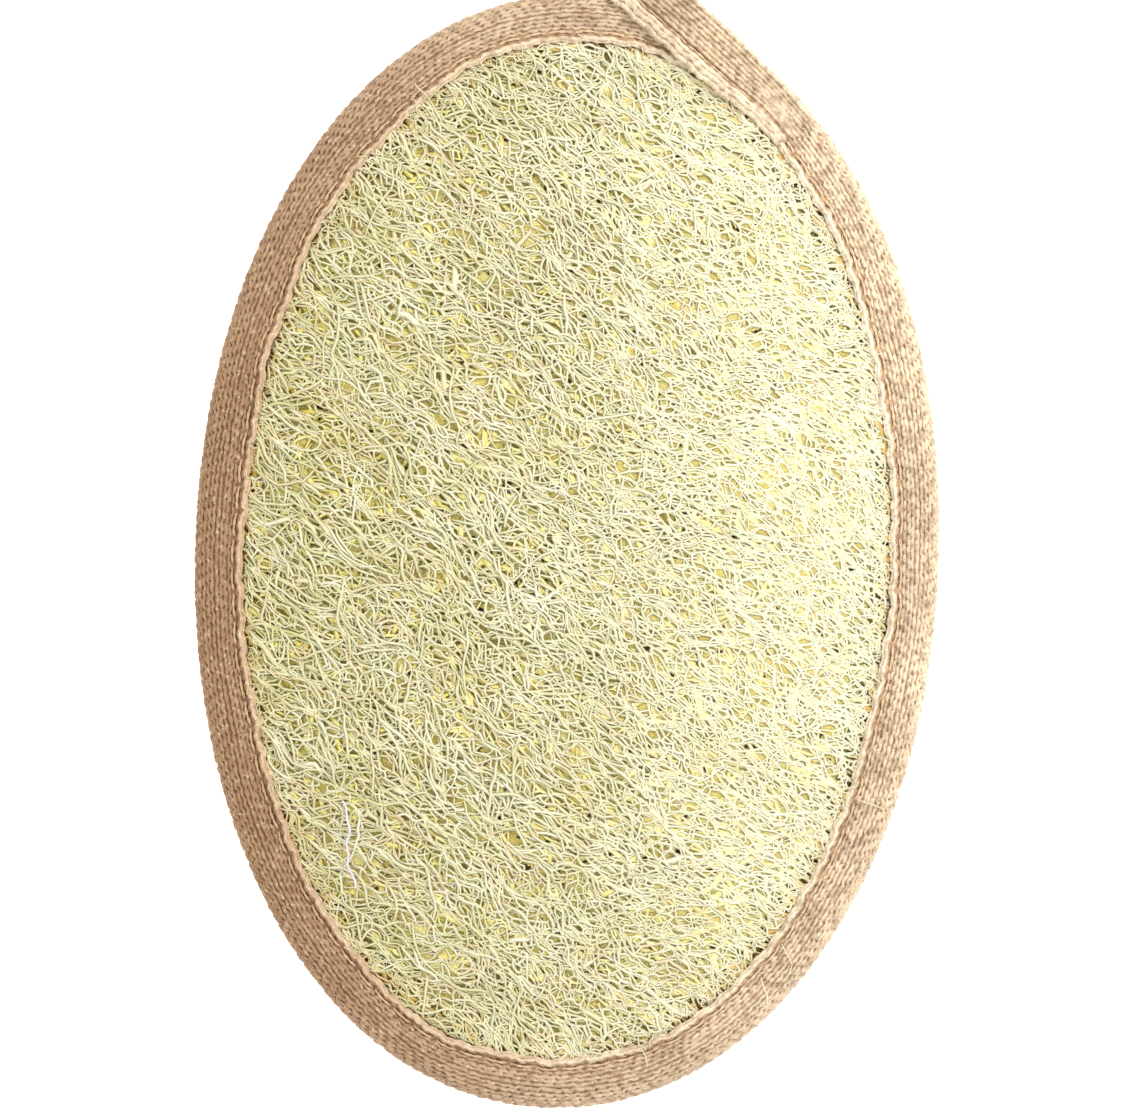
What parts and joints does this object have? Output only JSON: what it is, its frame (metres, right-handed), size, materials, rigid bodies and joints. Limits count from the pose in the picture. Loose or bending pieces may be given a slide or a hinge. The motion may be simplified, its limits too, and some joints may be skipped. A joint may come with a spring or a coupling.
{
  "type": "loofah sponge pad",
  "caption": "Flat oval scrubbing pad of pressed natural loofah sponge, its rim bound in folded woven cotton tape that runs on into a hanging loop.",
  "frame": {"origin": "middle of the oval on the plane the pad lies on, at the flat spot in the middle of its back", "axes": "+Z out of the front of the pad, +Y along the oval towards the hanging loop, +X to the right as seen from the front"},
  "size_m": [0.12, 0.2307, 0.012],
  "materials": {
    "loofah": "dry plant fibre",
    "cotton_tape": "woven cotton twill",
    "sewing_thread": "matte sewing thread"
  },
  "bodies": {
    "root": {"loofah_sheet": "loofah", "binding_tape": "cotton_tape", "seam_thread_front": "sewing_thread", "seam_thread_back": "sewing_thread"}
  },
  "joints": []
}
